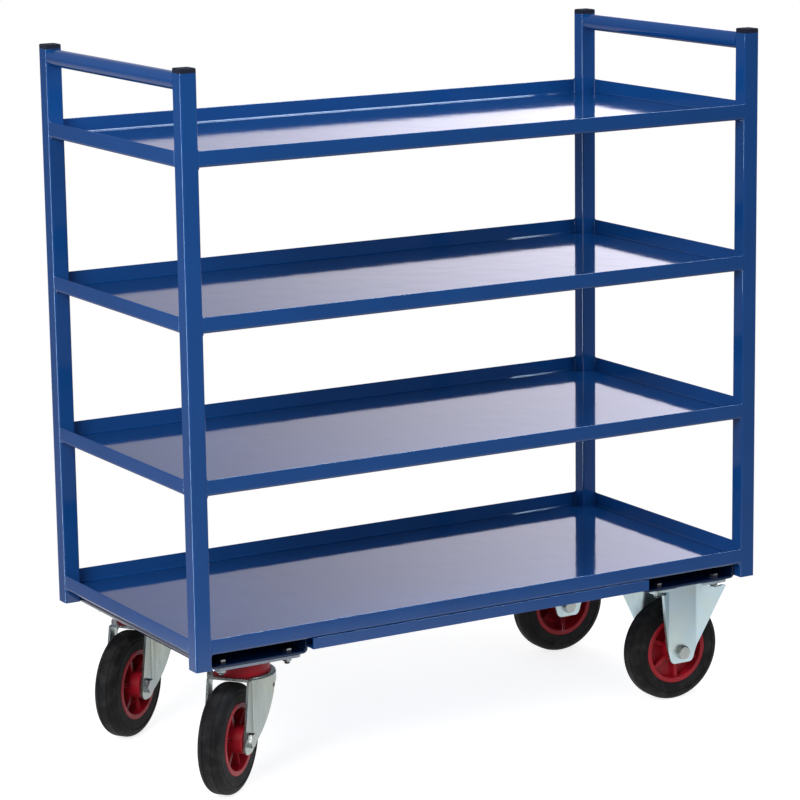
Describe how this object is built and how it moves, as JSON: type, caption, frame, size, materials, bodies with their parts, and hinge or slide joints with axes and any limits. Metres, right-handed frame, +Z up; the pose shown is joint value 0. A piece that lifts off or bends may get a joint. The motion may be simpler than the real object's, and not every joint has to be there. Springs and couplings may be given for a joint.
{
  "type": "shelf trolley",
  "caption": "Blue shelf trolley: flat trays with low rims between square corner posts, a round handle across each end, swivel castors under one end and fixed castors under the other.",
  "frame": {"origin": "on the floor under the middle of the frame", "axes": "+X along the trolley towards the fixed castors, +Y across it to the back, +Z up"},
  "size_m": [0.9677, 0.4823, 1.035],
  "materials": {
    "blue_paint": "gloss",
    "cap_plastic": "matte",
    "castor_zinc": "satin",
    "bolt_zinc": "satin",
    "ball_steel": "polished",
    "ring_plastic": "semi_gloss",
    "hub_plastic": "semi_gloss",
    "bush_plastic": "matte",
    "tyre_rubber": "matte"
  },
  "bodies": {
    "frame": {"post_front_left": "blue_paint", "post_back_left": "blue_paint", "post_front_right": "blue_paint", "post_back_right": "blue_paint", "post_caps": "cap_plastic", "handle_left": "blue_paint", "handle_right": "blue_paint", "shelf_bottom": "blue_paint", "shelf_lower": "blue_paint", "shelf_upper": "blue_paint", "shelf_top": "blue_paint", "base_rail_front": "blue_paint", "base_rail_back": "blue_paint", "castor_channel_left": "blue_paint", "castor_channel_right": "blue_paint", "plate_bolts": "bolt_zinc", "plate_nuts": "bolt_zinc", "front_swivel_plate": "castor_zinc", "front_swivel_king_bolt": "bolt_zinc", "front_swivel_king_washer": "bolt_zinc", "front_swivel_king_nut": "bolt_zinc", "front_swivel_balls": "ball_steel", "front_fixed_bracket": "castor_zinc", "front_fixed_axle_bolt": "bolt_zinc", "front_fixed_axle_nut": "bolt_zinc", "front_fixed_axle_sleeve": "bolt_zinc", "back_swivel_plate": "castor_zinc", "back_swivel_king_bolt": "bolt_zinc", "back_swivel_king_washer": "bolt_zinc", "back_swivel_king_nut": "bolt_zinc", "back_swivel_balls": "ball_steel", "back_fixed_bracket": "castor_zinc", "back_fixed_axle_bolt": "bolt_zinc", "back_fixed_axle_nut": "bolt_zinc", "back_fixed_axle_sleeve": "bolt_zinc"},
    "front_swivel": {"front_swivel_fork": "castor_zinc", "front_swivel_dust_ring": "ring_plastic", "front_swivel_axle_bolt": "bolt_zinc", "front_swivel_axle_nut": "bolt_zinc", "front_swivel_axle_sleeve": "bolt_zinc"},
    "front_swivel_wheel": {"front_swivel_hub_bush": "bush_plastic", "front_swivel_hub": "hub_plastic", "front_swivel_tyre": "tyre_rubber"},
    "front_fixed_wheel": {"front_fixed_hub_bush": "bush_plastic", "front_fixed_hub": "hub_plastic", "front_fixed_tyre": "tyre_rubber"},
    "back_swivel": {"back_swivel_fork": "castor_zinc", "back_swivel_dust_ring": "ring_plastic", "back_swivel_axle_bolt": "bolt_zinc", "back_swivel_axle_nut": "bolt_zinc", "back_swivel_axle_sleeve": "bolt_zinc"},
    "back_swivel_wheel": {"back_swivel_hub_bush": "bush_plastic", "back_swivel_hub": "hub_plastic", "back_swivel_tyre": "tyre_rubber"},
    "back_fixed_wheel": {"back_fixed_hub_bush": "bush_plastic", "back_fixed_hub": "hub_plastic", "back_fixed_tyre": "tyre_rubber"}
  },
  "joints": [
    {"name": "front_castor_swivel", "type": "hinge", "parent": "frame", "child": "front_swivel", "pos_m": [-0.373, -0.1585, 0.17], "axis": [0, 0, 1], "continuous": true},
    {"name": "front_swivel_wheel_spin", "type": "hinge", "parent": "front_swivel", "child": "front_swivel_wheel", "pos_m": [-0.41449, -0.19307, 0.08], "axis": [-0.6401, 0.7683, 0], "continuous": true},
    {"name": "front_fixed_wheel_spin", "type": "hinge", "parent": "frame", "child": "front_fixed_wheel", "pos_m": [0.373, -0.1585, 0.08], "axis": [0, 1, 0], "continuous": true},
    {"name": "back_castor_swivel", "type": "hinge", "parent": "frame", "child": "back_swivel", "pos_m": [-0.373, 0.1585, 0.17], "axis": [0, 0, 1], "continuous": true},
    {"name": "back_swivel_wheel_spin", "type": "hinge", "parent": "back_swivel", "child": "back_swivel_wheel", "pos_m": [-0.41702, 0.12722, 0.08], "axis": [-0.5793, 0.8151, 0], "continuous": true},
    {"name": "back_fixed_wheel_spin", "type": "hinge", "parent": "frame", "child": "back_fixed_wheel", "pos_m": [0.373, 0.1585, 0.08], "axis": [0, 1, 0], "continuous": true}
  ]
}
